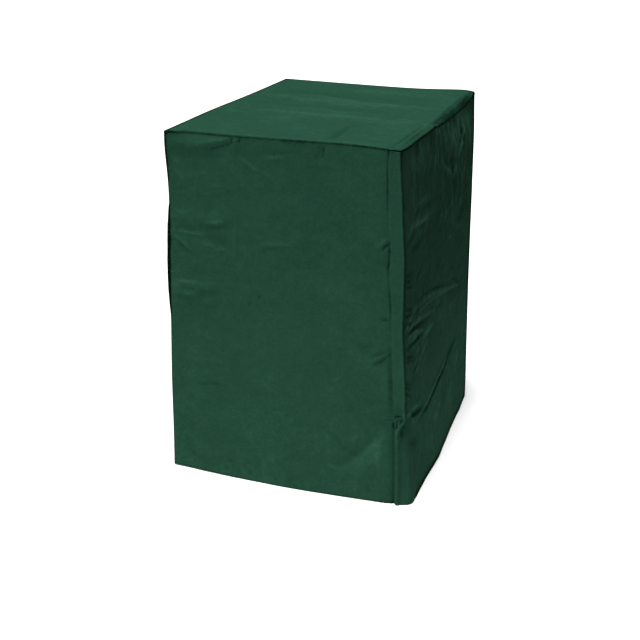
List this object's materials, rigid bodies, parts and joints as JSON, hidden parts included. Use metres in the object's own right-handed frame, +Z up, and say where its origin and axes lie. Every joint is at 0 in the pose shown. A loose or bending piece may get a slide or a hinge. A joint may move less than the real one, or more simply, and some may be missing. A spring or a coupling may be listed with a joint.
{
  "type": "fitted garden furniture cover",
  "caption": "Box-shaped fitted cover of dark green coated cloth, open below, that pulls down over stacked or single garden furniture.",
  "frame": {"origin": "middle of the underside of the top panel, where the furniture's top carries the cover", "axes": "+Z up, -Y the way the front faces, +X to the right as seen from the front"},
  "size_m": [0.5275, 0.6183, 0.7241],
  "materials": {
    "cover_cloth": "dark green woven cloth with a thin coating, soft sheen"
  },
  "bodies": {
    "root": {"top_panel": "cover_cloth", "front_panel": "cover_cloth", "right_panel": "cover_cloth", "back_panel": "cover_cloth", "left_panel": "cover_cloth"}
  },
  "joints": []
}
